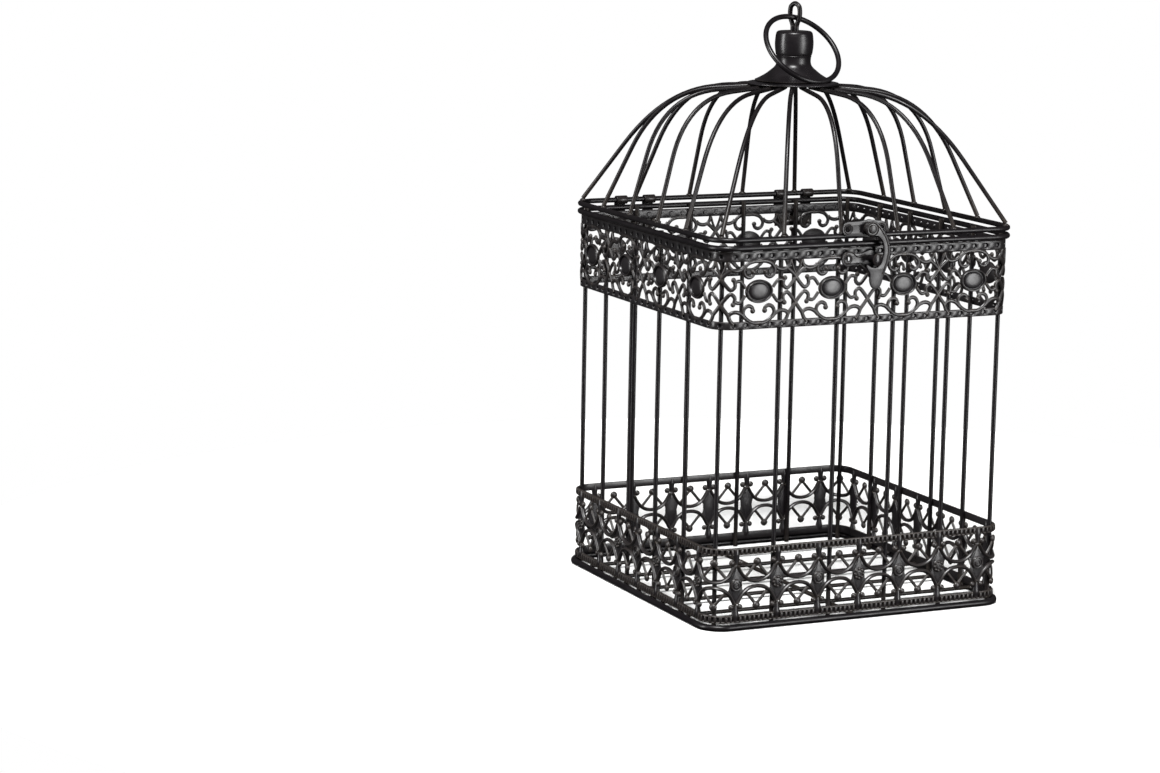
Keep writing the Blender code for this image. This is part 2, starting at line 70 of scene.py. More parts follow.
def stoveEnamel(name, look):
    # Black stove enamel, sprayed on steel and baked: a deep black with a satin sheen that clouds slightly
    # from place to place, a faint orange peel that breaks up long highlights, and warm grey edges where the
    # paint has drawn thin, a lighter colour that is also a painted highlight along every convex edge.
    material = bpy.data.materials.new(name)
    material.use_nodes = True
    tree = material.node_tree
    shader = tree.nodes["Principled BSDF"]
    shader.inputs["Metallic"].default_value = 0.0
    shader.inputs["IOR"].default_value = look["ior"]
    place = addNode(tree, "ShaderNodeTexCoord")
    # cloudy paint thickness, patches of about a centimetre
    cloud = addNode(tree, "ShaderNodeTexNoise",
                    {"Scale": 1 / look["cloudSize"], "Detail": 3.0, "Roughness": 0.55},
                    [("Vector", place, "Object")])
    paint = addNode(tree, "ShaderNodeMix", {6: linear(look["deep"]), 7: linear(look["thin"])},
                    [(0, cloud, "Fac")], data_type="RGBA")
    # lighter convex edges, broken up by a grain drawn coarse enough to show: partly rubbed paint, partly a
    # painted highlight
    shape = addNode(tree, "ShaderNodeNewGeometry")
    grain = addNode(tree, "ShaderNodeTexNoise", {"Scale": 1 / look["grainSize"], "Detail": 2.0},
                    [("Vector", place, "Object")])
    edge = addNode(tree, "ShaderNodeMapRange",
                   {"From Min": look["edgeFrom"], "From Max": look["edgeTo"], "To Max": look["edgeWearAndHighlight"]},
                   [("Value", shape, "Pointiness")])
    broken = addNode(tree, "ShaderNodeMath", None, [(0, edge, "Result"), (1, grain, "Fac")],
                     operation="MULTIPLY")
    # the edge colour mixed in here is partly real wear and partly a painted highlight on convex edges
    wornAndHighlit = addNode(tree, "ShaderNodeMix", {7: linear(look["rubbedEdgeAndHighlight"])}, [(0, broken, 0), (6, paint, 2)],
                   data_type="RGBA")
    tree.links.new(wornAndHighlit.outputs[2], shader.inputs["Base Color"])
    glossy, dull = look["rough"]
    gloss = addNode(tree, "ShaderNodeMapRange",
                    {"From Min": 0.35, "From Max": 0.65, "To Min": glossy, "To Max": dull},
                    [("Value", cloud, "Fac")])
    tree.links.new(gloss.outputs["Result"], shader.inputs["Roughness"])
    # orange peel, about a millimetre from crest to crest
    peel = addNode(tree, "ShaderNodeTexNoise", {"Scale": 1 / look["peelSize"], "Detail": 1.0},
                   [("Vector", place, "Object")])
    bump = addNode(tree, "ShaderNodeBump", {"Strength": look["peelStrength"], "Distance": look["peelDepth"]},
                   [("Height", peel, "Fac")])
    tree.links.new(bump.outputs["Normal"], shader.inputs["Normal"])
    return material


# drawn wire is smooth, so its enamel draws a narrow light line down each bar; its convex edges take the
# lighter edge colour, partly real wear and partly a painted highlight
wireLook = {"deep": "#0b090b", "thin": "#151214", "rubbedEdgeAndHighlight": "#5d554d", "ior": 1.36,
            "rough": (0.28, 0.42), "cloudSize": 0.011, "grainSize": 0.0012,
            "peelSize": 0.0011, "peelStrength": 0.25, "peelDepth": 0.00006,
            "edgeFrom": 0.54, "edgeTo": 0.66, "edgeWearAndHighlight": 0.5}
# pressed sheet is a little duller and greyer, and its raised lines are rubbed, lighter paint that is partly
# a painted highlight
sheetLook = dict(wireLook, deep="#110f11", thin="#1d1a1c", rough=(0.30, 0.42), cloudSize=0.014, ior=1.5,
                 edgeWearAndHighlight=0.7)
# cast and turned fittings are smoothest: the sharpest highlights and the most rubbed edges, their lighter
# edge colour partly a painted highlight
fittingLook = dict(wireLook, deep="#0f0d0f", thin="#1a1719", rough=(0.24, 0.36), cloudSize=0.008, ior=1.42,
                   edgeWearAndHighlight=0.8)
wireEnamel = stoveEnamel("satin stove enamel on drawn wire", wireLook)
sheetEnamel = stoveEnamel("satin stove enamel on pressed sheet", sheetLook)
fittingEnamel = stoveEnamel("satin stove enamel on cast fittings", fittingLook)
print("finishes done")


# shared shaping

def smoothLine(points, steps):
    # a curve through every point, carried straight on past both ends
    points = [Vector(p) for p in points]
    points = [points[0] * 2 - points[1]] + points + [points[-1] * 2 - points[-2]]
    line = []
    for index in range(1, len(points) - 2):
        a, b, c, d = points[index - 1:index + 3]
        for step in range(steps):
            t = step / steps
            line.append(0.5 * (2 * b + (c - a) * t + (2 * a - 5 * b + 4 * c - d) * t ** 2
                               + (3 * b - a - 3 * c + d) * t ** 3))
    return line + [points[-2]]


def arc(x, z, radius, start, end, steps):
    turns = [radians(start + (end - start) * step / steps) for step in range(steps + 1)]
    return [Vector((x + radius * cos(t), z + radius * sin(t))) for t in turns]


def circle(x, z, radius, steps=20):
    turns = [2 * pi * step / steps for step in range(steps)]
    return [(x + radius * cos(t), z + radius * sin(t)) for t in turns]


def curveMesh(curve):
    holder = bpy.data.objects.new("holder", curve)
    mesh = bpy.data.meshes.new_from_object(holder)
    bpy.data.objects.remove(holder)
    bpy.data.curves.remove(curve)
    return mesh


def addMesh(bm, mesh):
    start = len(bm.verts)
    bm.from_mesh(mesh)
    bpy.data.meshes.remove(mesh)
    bm.verts.ensure_lookup_table()
    return bm.verts[start:]


def addWire(bm, points, radius, sides, closed=False, swell=None):
    # a round wire along points; swell is a factor on the radius at each point
    curve = bpy.data.curves.new("wire", "CURVE")
    curve.dimensions = "3D"
    curve.bevel_depth = radius
    curve.bevel_resolution = (sides - 4) // 2
    curve.use_fill_caps = True
    spline = curve.splines.new("POLY")
    spline.points.add(len(points) - 1)
    for index, point in enumerate(points):
        spline.points[index].co = (*point, 1.0)
        spline.points[index].radius = swell[index] if swell else 1.0
    spline.use_cyclic_u = closed
    return addMesh(bm, curveMesh(curve))


def ringRim(bm, x, y, z, radius, thick, steps=28):
    # round bead lying on a face that looks along Y
    addWire(bm, [(px, y, pz) for px, pz in circle(x, z, radius, steps)], thick, 8, True)


def addBall(bm, place, size, detail=2):
    # an egg with its three half sizes
    where = Matrix.Translation(place) @ Matrix.Diagonal((*size, 1.0))
    bmesh.ops.create_icosphere(bm, subdivisions=detail, radius=1.0, matrix=where)


def addPlate(bm, outlines, back, thickness, edge):
    # sheet cut to (x, z) outlines, its back at y = back, its front edges rounded; holes are further outlines
    curve = bpy.data.curves.new("plate", "CURVE")
    curve.dimensions = "2D"
    curve.fill_mode = "BOTH"
    curve.extrude = thickness / 2 - edge
    curve.bevel_depth = edge
    curve.bevel_resolution = 2
    curve.offset = -edge
    for outline in outlines:
        spline = curve.splines.new("POLY")
        spline.points.add(len(outline) - 1)
        for index, point in enumerate(outline):
            spline.points[index].co = (point[0], point[1], 0.0, 1.0)
        spline.use_cyclic_u = True
    verts = addMesh(bm, curveMesh(curve))
    stand = Matrix.Translation((0, back - thickness / 2, 0)) @ Matrix.Rotation(pi / 2, 4, "X")
    bmesh.ops.transform(bm, matrix=stand, verts=verts)


def addTurned(bm, profile, steps, closed=False):
    # spins an (r, z) line round the Z axis
    verts = [bm.verts.new((r, 0.0, z)) for r, z in profile]
    pairs = list(zip(verts, verts[1:])) + ([(verts[-1], verts[0])] if closed else [])
    edges = [bm.edges.new(pair) for pair in pairs]
    bmesh.ops.spin(bm, geom=verts + edges, cent=(0, 0, 0), axis=(0, 0, 1), angle=2 * pi, steps=steps,
                   use_merge=True, use_duplicate=False)


def finishPiece(name, bm, finish, body, *nodes, sharp=40):
    bmesh.ops.remove_doubles(bm, verts=bm.verts, dist=0.002 * mm)
    bmesh.ops.recalc_face_normals(bm, faces=bm.faces)
    mesh = bpy.data.meshes.new(name)
    bm.to_mesh(mesh)
    bm.free()
    mesh.shade_smooth()
    mesh.set_sharp_from_angle(angle=radians(sharp))
    mesh.materials.append(finish)
    piece = bpy.data.objects.new(name, mesh)
    bpy.context.scene.collection.objects.link(piece)
    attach(piece, body)
    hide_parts(*nodes)
    return piece


def roundSquare(half, z, steps):
    # points round a square whose corners are struck from the shared corner centres
    radius = half - plan["cornerCentre"]
    points = []
    for corner in range(4):
        spin = Matrix.Rotation(corner * pi / 2, 3, "Z")
        centre = spin @ Vector((plan["cornerCentre"], plan["cornerCentre"], z))
        for step in range(steps + 1):
            angle = step * pi / 2 / steps
            points.append(centre + spin @ Vector((cos(angle), sin(angle), 0.0)) * radius)
    return points


def nodeMiddle(node):
    low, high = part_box(node)
    return (low + high) / 2


def nodeSize(node):
    low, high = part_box(node)
    return high - low


# every rounded square of the cage shares these corner centres, measured from the middle
plan = {"cornerCentre": 86.5 * mm, "cornerSteps": 10, "ringSides": 16}


# cage: rings, floor and uprights

def ringPiece(name, node, body):
    size = nodeSize(node)
    radius = size.z / 2
    line = roundSquare(size.x / 2 - radius, nodeMiddle(node).z, plan["cornerSteps"])
    bm = bmesh.new()
    addWire(bm, line, radius, plan["ringSides"], True)
    finishPiece(name, bm, wireEnamel, body, node, sharp=60)


def floorPiece():
    low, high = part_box("floor_grid")
    wire = {"radius": 1.25 * mm, "spacing": 34 * mm, "rows": 5, "sides": 12,
            "crossWeld": (1.7 * mm, 1.7 * mm, 1.0 * mm), "endWeld": (1.6 * mm, 1.9 * mm, 1.4 * mm),
            "endIn": 0.6 * mm, "endDown": 0.4 * mm}
    bm = bmesh.new()
    addWire(bm, [(0, low.y, low.z + wire["radius"]), (0, high.y, low.z + wire["radius"])],
            wire["radius"], wire["sides"])
    rowZ = high.z - wire["radius"]
    for row in range(wire["rows"]):
        y = (row - (wire["rows"] - 1) / 2) * wire["spacing"]
        addWire(bm, [(low.x, y, rowZ), (0, y, rowZ), (high.x, y, rowZ)], wire["radius"], wire["sides"])
        addBall(bm, (0, y, (low.z + high.z) / 2), wire["crossWeld"])
        for side in (-1, 1):
            addBall(bm, (side * (high.x - wire["endIn"]), y, rowZ - wire["endDown"]), wire["endWeld"])
    finishPiece("floorGrid", bm, wireEnamel, "cage", "floor_grid")


def uprightPieces():
    # straight wires with a little hand-made bow, welded to the rings at both ends; onSide is the least
    # distance from the middle at which a wire stands against that side
    look = {"sides": 12, "bow": 0.35 * mm, "weld": (1.3 * mm, 1.3 * mm, 1.9 * mm), "weldOut": 1.5 * mm,
            "weldIn": 1.6 * mm, "weldSwing": (0.85, 1.1), "onSide": 90 * mm, "steps": 5,
            "bowAt": ((0.35, 1.0), (0.7, 0.6))}
    names = sorted(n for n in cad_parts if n.startswith("bar_"))
    for node in names:
        low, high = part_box(node)
        radius = (high.x - low.x) / 2
        foot = Vector(((low.x + high.x) / 2, (low.y + high.y) / 2, low.z))
        outward = Vector([side if abs(side) > look["onSide"] else 0 for side in foot.xy] + [0]).normalized()
        bend = Vector((random.uniform(-1, 1), random.uniform(-1, 1), 0)) * look["bow"]
        top = Vector((foot.x, foot.y, high.z))
        line = [foot] + [foot.lerp(top, share) + bend * part for share, part in look["bowAt"]] + [top]
        bm = bmesh.new()
        addWire(bm, smoothLine(line, look["steps"]), radius, look["sides"])
        for height in (low.z + look["weldIn"], high.z - look["weldIn"]):
            swing = random.uniform(*look["weldSwing"])
            weld = tuple(size * swing for size in look["weld"])
            addBall(bm, Vector((foot.x, foot.y, height)) + outward * look["weldOut"], weld)
        finishPiece("upright_" + node[4:], bm, wireEnamel, "cage", node)


ringPiece("baseRing", "base_ring", "cage")
ringPiece("rimRing", "rim_ring", "cage")
floorPiece()
uprightPieces()
print("rings, floor and uprights done")


# pressed bands

def stroke(bm, points, width, depth, swell=None, steps=3, sides=8):
    # a raised line of the pressing: a round bead squashed to the sheet's thickness; points are (x, z) in mm
    line = smoothLine([(x, 0.0, z) for x, z in points], steps)
    swells = None
    if swell:
        swells = [p.x for p in smoothLine([(s, 0.0, 0.0) for s in swell], steps)]
    verts = addWire(bm, line, width / 2, sides, False, swells)
    bmesh.ops.scale(bm, vec=(1.0, depth / width, 1.0), verts=verts)


def borderStrip(bm, width, bottom, top, sheet, front, cuts):
    # plain edge of the band across one cell, open at its two ends so that neighbours join
    place = Matrix.Translation((0, front - sheet / 2, (bottom + top) / 2))
    size = Matrix.Diagonal((width, sheet, top - bottom, 1.0))
    made = bmesh.ops.create_cube(bm, size=1.0, matrix=place @ size)
    faces = {face for vert in made["verts"] for face in vert.link_faces}
    ends = [face for face in faces if abs(face.normal.x) > 0.9]
    bmesh.ops.delete(bm, geom=ends, context="FACES_ONLY")
    edges = {edge for vert in made["verts"] if vert.is_valid for edge in vert.link_edges}
    along = [edge for edge in edges if abs(edge.verts[0].co.x - edge.verts[1].co.x) > width / 2]
    rounded = bmesh.ops.bevel(bm, geom=along, offset=sheet * 0.3, offset_type="OFFSET", segments=2,
                              profile=0.5, affect="EDGES", material=-1)
    edges = {edge for face in rounded["faces"] for edge in face.edges}
    along = [edge for edge in edges if abs(edge.verts[0].co.x - edge.verts[1].co.x) > width / 2]
    bmesh.ops.subdivide_edges(bm, edges=along, cuts=cuts)


def dimpledStrip(bm, width, bottom, top, count, look):
    # edge of the band with a row of round dimples pressed into it; y is outwards, and its two ends are open
    reach, tall = width / count / 2, (top - bottom) / 2
    frameLine = [(1, 0), (1, 1), (0.5, 1), (0, 1), (-0.5, 1), (-1, 1)]
    frameLine += [(-x, -z) for x, z in frameLine]
    front, soft = look["sheet"] / 2, look["soft"]
    hole, deep = look["dimple"], look["dimpleDepth"]
    frames = [(tall - soft, front), (tall, front - soft), (tall, soft - front), (tall - soft, -front)]
    for index in range(count):
        middle = Vector(((index - count / 2 + 1) * 2 * reach, 0, (bottom + top) / 2))

        def dish(radius, y):
            return [bm.verts.new(middle + Vector((radius * cos(a), y, radius * sin(a))))
                    for a in (pi * step / 6 for step in range(12))]

        loops = [dish(hole * 0.75, front - deep), dish(hole, front - 0.2), dish(hole * 1.2, front)]
        loops += [[bm.verts.new(middle + Vector((x * reach, y, z * height))) for x, z in frameLine]
                  for height, y in frames]
        loops += [dish(hole * 1.2, -front), dish(hole * 0.9, -front - deep * 0.6)]
        # the layers between the frames are the strip's own edge: no face where the next dimple's cell joins
        for layer, (near, far) in enumerate(zip(loops, loops[1:])):
            for step in range(12):
                other = (step + 1) % 12
                if 3 <= layer <= 5 and abs(frameLine[step][0] + frameLine[other][0]) == 2:
                    continue
                bm.faces.new((near[step], near[other], far[other], far[step]))
        bm.faces.new(loops[0])
        bm.faces.new(loops[-1])


def bandPlace(along, depth, half):
    # (x, y) on the rounded square for a distance along it and a depth outwards
    radius = half - plan["cornerCentre"]
    bend = radius * pi / 2
    side = bend + 2 * plan["cornerCentre"]
    turn, rest = divmod(along, side)
    if rest < bend:
        angle = rest / radius
        reach = radius + depth
        spot = Vector((plan["cornerCentre"] + reach * cos(angle), plan["cornerCentre"] + reach * sin(angle)))
    else:
        spot = Vector((plan["cornerCentre"] - (rest - bend), half + depth))
    return Matrix.Rotation(turn * pi / 2, 2) @ spot


def bandPiece(name, node, cellMeshes, cells, half, middleZ):
    # copies the flat cells round the box and bends them onto the rounded square
    radius = half - plan["cornerCentre"]
    length = 4 * (radius * pi / 2 + 2 * plan["cornerCentre"])
    bm = bmesh.new()
    for count in range(cells):
        start = len(bm.verts)
        bm.from_mesh(cellMeshes[count % len(cellMeshes)])
        bm.verts.ensure_lookup_table()
        middle = radius * pi / 4 + (count + 0.5) * length / cells
        for vert in bm.verts[start:]:
            spot = bandPlace((middle + vert.co.x * mm) % length, vert.co.y * mm, half)
            vert.co = (spot.x, spot.y, middleZ + vert.co.z * mm)
    for mesh in cellMeshes:
        bpy.data.meshes.remove(mesh)
    finishPiece(name, bm, sheetEnamel, "cage", node, sharp=50)


def cellMesh(bm):
    bmesh.ops.remove_doubles(bm, verts=bm.verts, dist=0.0005)
    mesh = bpy.data.meshes.new("cell")
    bm.to_mesh(mesh)
    bm.free()
    return mesh


def mirrored(quarter):
    # closes an outline drawn from the top of the Z axis round to the X axis
    right = quarter + [(x, -z) for x, z in reversed(quarter[:-1])]
    return right + [(-x, z) for x, z in reversed(right[1:-1])]


def lowerCell(width, flower):
    # one post with its rosette, and the pair of arches on its right; y is outwards
    look = {"top": (17.6, 22.0), "bottom": (-22.9, -18.3), "sheet": 0.6, "front": -0.35,
            "line": 2.3, "depth": 2.9, "borderCuts": 12, "ridges": 9, "ridgeSize": (1.35, 2.1, 3.4),
            "ridgeBack": 0.5, "ridgeEdge": 0.3, "rail": 0.5, "railFront": 0.2,
            "ground": [(0, 12.4), (1.6, 11.4), (2.6, 9.0), (4.2, 6.6), (5.8, 5.0), (4.4, 2.8), (3.9, 0)],
            "groundSheet": (0.2, 0.6, 0.1),
            "kite": [(0, 10.4), (1.1, 8.3), (2.1, 5.4), (3.2, 3.0), (3.7, 0)], "kiteSheet": (0.4, 0.9, 0.3),
            "arch": [(-12.9, 11.6), (-11.6, 9.2), (-10.0, 6.6), (-8.0, 4.4), (-4.6, 2.35), (0, 1.6)],
            "fork": [(0.5, 12.2), (7.4, 4.2)], "forkLine": (1.9, 1.5), "forkBall": (2.5, 1.35, 2.4),
            "forkTop": 13.2, "lobe": (1.95, 1.3, 1.9), "lobePlace": (2.9, 13.3), "lobeBelow": 0.9,
            "ballY": 0.2, "bud": (21.4, 18.6, 15.8, 12.2), "budLine": (3.6, 2.6),
            "budTop": (0.75, 1.15, 1.0, 0.75), "budBottom": (0.85, 1.35, 1.05, 0.7),
            "disc": (3.9, 0.85, 3.9), "discY": 0.3, "petals": 8, "petal": (0.92, 0.8, 0.92), "petalY": 1.05,
            "petalOut": 2.75, "eyeRing": (1.1, 0.4), "eyeY": 1.2, "plainRings": ((3.2, 0.6), (1.5, 0.5)),
            "plainY": 1.0}
    bm = bmesh.new()
    pitch = width / look["ridges"]
    apart = width / 2
    arch = look["arch"] + [(-x, z) for x, z in reversed(look["arch"][:-1])]
    for low, high in (look["bottom"], look["top"]):
        borderStrip(bm, width, low, high, look["sheet"], look["front"], look["borderCuts"])
        for index in range(look["ridges"]):
            x = (index + 0.5 - look["ridges"] / 2) * pitch
            place = Matrix.Translation((x, look["front"] + look["ridgeBack"], (low + high) / 2))
            size = Matrix.Diagonal((*look["ridgeSize"], 1.0))
            ridge = bmesh.ops.create_cube(bm, size=1.0, matrix=place @ size)
            rim = list({edge for vert in ridge["verts"] for edge in vert.link_edges})
            bmesh.ops.bevel(bm, geom=rim, offset=look["ridgeEdge"], offset_type="OFFSET", segments=2,
                            profile=0.5, affect="EDGES", material=-1)
            for z in (low + look["rail"], high - look["rail"]):
                ends = [(x + half, look["railFront"], z) for half in (-pitch / 2, pitch / 2)]
                addWire(bm, ends, look["rail"], 8)
    for sign in (-1, 1):
        # arches that touch at mid height, and the forked prop with its ball between them
        stroke(bm, [(apart + x, sign * z) for x, z in arch], look["line"], look["depth"], steps=4)
        addBall(bm, (apart, look["ballY"], sign * look["forkTop"]), look["forkBall"])
        for side in (-1, 1):
            stroke(bm, [(apart + side * x, sign * z) for x, z in look["fork"]], *look["forkLine"])
            wide, proud, tall = look["lobe"]
            lobeX, lobeZ = look["lobePlace"]
            lobe = 1.0 if sign > 0 else look["lobeBelow"]
            addBall(bm, (side * lobeX, look["ballY"], sign * lobeZ), (wide * lobe, proud, tall * lobe))
        # swelling bud between the post and the border
        stroke(bm, [(0, sign * z) for z in look["bud"]], *look["budLine"],
               look["budTop"] if sign > 0 else look["budBottom"], sides=12)
    # the post: a plain plate, a raised kite on it and the rosette's disc
    addPlate(bm, [mirrored(look["ground"])], *look["groundSheet"])
    addPlate(bm, [mirrored(look["kite"])], *look["kiteSheet"])
    addBall(bm, (0, look["discY"], 0), look["disc"], 3)
    if flower:
        for x, z in circle(0, 0, look["petalOut"], look["petals"]):
            addBall(bm, (x, look["petalY"], z), look["petal"])
        radius, thick = look["eyeRing"]
        ringRim(bm, 0, look["eyeY"], 0, radius, thick, 16)
    else:
        for radius, thick in look["plainRings"]:
            ringRim(bm, 0, look["plainY"], 0, radius, thick, 24)
    return cellMesh(bm)


def upperCell(width):
    # one oval medallion between its scrolls, and the crossed lattice on its right
    look = {"half": 22.7, "topBorder": 5.8, "bottomBorder": 4.7, "sheet": 1.0, "soft": 0.3, "line": 2.4,
            "depth": 1.7, "dimples": 6, "dimple": 1.3, "dimpleDepth": 1.2, "oval": 0.77, "drop": 0.7}
    bm = bmesh.new()
    dimpledStrip(bm, width, look["half"] - look["topBorder"], look["half"], look["dimples"], look)
    dimpledStrip(bm, width, -look["half"], look["bottomBorder"] - look["half"], look["dimples"], look)
    # medallion: a raised rim, a groove and a shallow dome, turned and then made oval
    patterned = len(bm.verts)  # the pattern after the borders sits a little low between them
    profile = [(0.0, 1.15), (3.2, 1.08), (5.2, 0.9), (6.3, 0.6), (6.75, 0.0), (7.05, 0.0), (7.3, 0.9),
               (7.75, 1.5), (8.2, 1.55), (8.65, 1.15), (8.95, 0.4), (8.95, -0.4), (8.6, -0.6), (0.0, -0.6)]
    addTurned(bm, profile, 36)
    bm.verts.ensure_lookup_table()
    for vert in bm.verts[patterned:]:
        vert.co = (vert.co.x, vert.co.z, vert.co.y * look["oval"])

    def scrolls(lines, balls=()):
        for side in (-1, 1):
            for points, thick in lines:
                stroke(bm, [(side * x, z) for x, z in points], look["line"] * thick, look["depth"])
            for x, z, radius in balls:
                addBall(bm, (side * x, 0.1, z), (radius, 1.1, radius))

    for sign in (-1, 1):
        reach = 17.6 if sign > 0 else 18.4
        scroll = [(3.6, 11.6), (4.3, 9.4), (6.6, 8.3), (9.2, 9.6), (10.1, 12.8), (7.8, 16.1), (3.6, reach),
                  (-0.6, reach)]
        # swoop from the crossing to a curled end, and the short arc that hugs the medallion
        swoop = [(24.05, 7.6), (21.6, 4.3), (18.4, 1.2), (15.8, 3.0), (15.9, 5.6), (16.6, 7.2)]
        hug = [(15.9, 5.4), (14.2, 6.3), (12.3, 6.2), (10.6, 4.4), (9.0, 2.2)]
        scrolls([([(x, sign * z) for x, z in scroll], 1.0), ([(x, sign * z) for x, z in swoop], 1.0),
                 ([(x, sign * z) for x, z in hug], 0.9)],
                [(3.9, sign * 11.3, 1.6), (16.7, sign * 7.2, 1.5)])
    # small loops that hang from the top border with their arms, and the legs that stand on the bottom border
    scrolls([([(10.2, 14.6), (11.6, 13.2), (13.6, 12.4), (16.2, 12.3), (18.4, 13.4), (19.8, 15.4),
               (20.3, 17.6)], 1.0),
             ([(18.0, 13.1), (20.4, 11.2), (22.4, 9.4), (24.05, 7.5)], 1.0),
             ([(20.6, 17.2), (22.0, 12.9), (24.05, 8.6)], 0.65),
             ([(24.05, -7.5), (21.8, -10.6), (19.6, -13.4), (18.4, -16.4), (16.4, -18.9)], 1.0),
             ([(8.8, -15.4), (11.4, -12.9), (14.6, -11.7), (17.6, -12.2), (19.3, -13.8)], 1.0)])
    bm.verts.ensure_lookup_table()
    bmesh.ops.translate(bm, vec=(0, 0, -look["drop"]), verts=bm.verts[patterned:])
    return cellMesh(bm)


# both bands are bent to the same rounded square; cells are whole repeats of the pattern round it
band = {"half": 98.7 * mm, "lowerMiddle": 27.2 * mm, "lowerCells": 28, "upperCells": 16}
bandLength = 4 * ((band["half"] - plan["cornerCentre"]) * pi / 2 + 2 * plan["cornerCentre"]) / mm
posts = [lowerCell(bandLength / band["lowerCells"], flower) for flower in (False, True)]
bandPiece("lowerBand", "lower_band", posts, band["lowerCells"], band["half"], band["lowerMiddle"])
bandPiece("upperBand", "upper_band", [upperCell(bandLength / band["upperCells"])], band["upperCells"],
          band["half"], nodeMiddle("upper_band").z)
print("bands done")


# dome

dome = {"shoulder": (81.0 * mm, 305.4 * mm), "crown": (28.0 * mm, 309.3 * mm), "endR": 16.0 * mm,
        "endSlope": 0.08, "bendStart": 0.5, "bendStop": 0.65, "steps": 14, "sides": 12,
        "wire": 1.35 * mm, "pitch": 38 * mm, "inset": 0.8 * mm, "footUp": 0.3 * mm,
        "weld": (2.0 * mm, 1.2 * mm), "weldDown": 0.1 * mm, "weldSwing": (0.9, 1.15)}


def ribLine(footR, footZ):
    # (r, z) from the foot, straight, over the shoulder and in to the crown
    foot, shoulder, crown = Vector((footR, footZ)), Vector(dome["shoulder"]), Vector(dome["crown"])
    start = foot.lerp(shoulder, dome["bendStart"])
    stop = shoulder.lerp(crown, dome["bendStop"])
    line = [foot, foot.lerp(start, 0.5)]
    for step in range(dome["steps"] + 1):
        t = step / dome["steps"]
        line.append(start.lerp(shoulder, t).lerp(shoulder.lerp(stop, t), t))
    end = Vector((dome["endR"], crown.y + (crown.x - dome["endR"]) * dome["endSlope"]))
    return line + [stop.lerp(crown, 0.5), crown, end]


def ribPieces():
    ringLow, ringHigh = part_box("lid_ring")
    line = ringHigh.x - (ringHigh.z - ringLow.z) / 2 - dome["inset"]
    corner = plan["cornerCentre"] + (line - plan["cornerCentre"]) / 2 ** 0.5
    wide, tall = dome["weld"]
    for turn, side in enumerate(("front", "right", "back", "left")):
        spin = Matrix.Rotation(turn * pi / 2, 2)
        places = {f"{side}_{count + 1}": spin @ Vector(((count - 1.5) * dome["pitch"], -line))
                  for count in range(4)}
        places[f"corner_{turn + 1}"] = spin @ Vector((corner, -corner))
        for name, place in places.items():
            footR = place.length
            lean = atan2(footR - dome["shoulder"][0], dome["shoulder"][1] - ringHigh.z)
            heading = place.normalized()
            footZ = ringHigh.z + dome["footUp"] + dome["wire"] * sin(lean)
            points = [(heading.x * r, heading.y * r, z) for r, z in ribLine(footR, footZ)]
            bm = bmesh.new()
            addWire(bm, points, dome["wire"], dome["sides"])
            swing = random.uniform(*dome["weldSwing"])
            weldPlace = (place.x, place.y, ringHigh.z - dome["weldDown"])
            addBall(bm, weldPlace, (wide * swing, wide * swing, tall))
            finishPiece("rib_wire_" + name, bm, wireEnamel, "lid", "rib_" + name)


def crownPiece():
    # shallow washer, dished towards a rolled rim
    low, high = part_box("crown_disc")
    look = {"bore": 2.6 * mm, "flat": 19.5 * mm, "bend": 21.0 * mm, "bendDown": 0.08 * mm, "rimIn": 1.4 * mm,
            "rimDown": 0.72 * mm, "sheet": 0.95 * mm, "roll": 0.55 * mm, "steps": 72}
    rim, top = high.x, high.z
    face = [(look["bore"], top), (look["flat"], top), (look["bend"], top - look["bendDown"]),
            (rim - look["rimIn"], top - look["rimDown"])]
    under = [(r, z - look["sheet"]) for r, z in reversed(face)]
    edge = arc(rim - look["roll"], low.z + look["roll"], look["roll"] - 0.02 * mm, 60, -110, 8)
    bm = bmesh.new()
    addTurned(bm, face + [tuple(p) for p in edge] + under, look["steps"], True)
    finishPiece("crownDisc", bm, sheetEnamel, "lid", "crown_disc")


def capPiece():
    # turned cap, hollow: (r, z) lines in mm above its foot
    low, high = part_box("cap")
    height = (high.z - low.z) / mm
    look = {"flare": [(23.45, 0.35), (21.6, 1.2), (19.0, 2.6), (16.6, 4.1), (14.1, 6.1), (12.0, 7.9),
                      (10.8, 9.6), (10.35, 11.6), (10.45, 13.8), (10.75, 15.0)],
            "groove": [(10.62, 15.3), (10.85, 15.6)],
            "barrel": [(11.15, 16.4), (11.6, 19.5), (11.75, 23.0), (11.45, 26.6), (11.25, 27.8)],
            "topR": 9.2, "topRound": 2.0, "bore": 3.3, "roof": 1.2, "steps": 72,
            "inside": [(10.3, 22.0), (9.9, 17.0), (9.2, 13.6), (9.3, 10.4), (10.9, 7.4), (13.8, 4.6),
                       (17.6, 2.1), (21.4, 0.0)]}
    roof = height - look["roof"]
    outside = smoothLine(look["flare"], 4) + [Vector(p) for p in look["groove"]]
    outside += smoothLine(look["barrel"], 4)
    outside += arc(look["topR"], height - look["topRound"], look["topRound"], 8, 90, 8)
    line = [(23.2, 0.0)] + [tuple(p) for p in outside] + [(look["bore"], height), (look["bore"], roof)]
    line += [(8.8, roof), (10.0, height - 3.0)] + look["inside"]
    bm = bmesh.new()
    addTurned(bm, [(r * mm, low.z + z * mm) for r, z in line], look["steps"], True)
    finishPiece("turnedCap", bm, fittingEnamel, "lid", "cap", sharp=35)


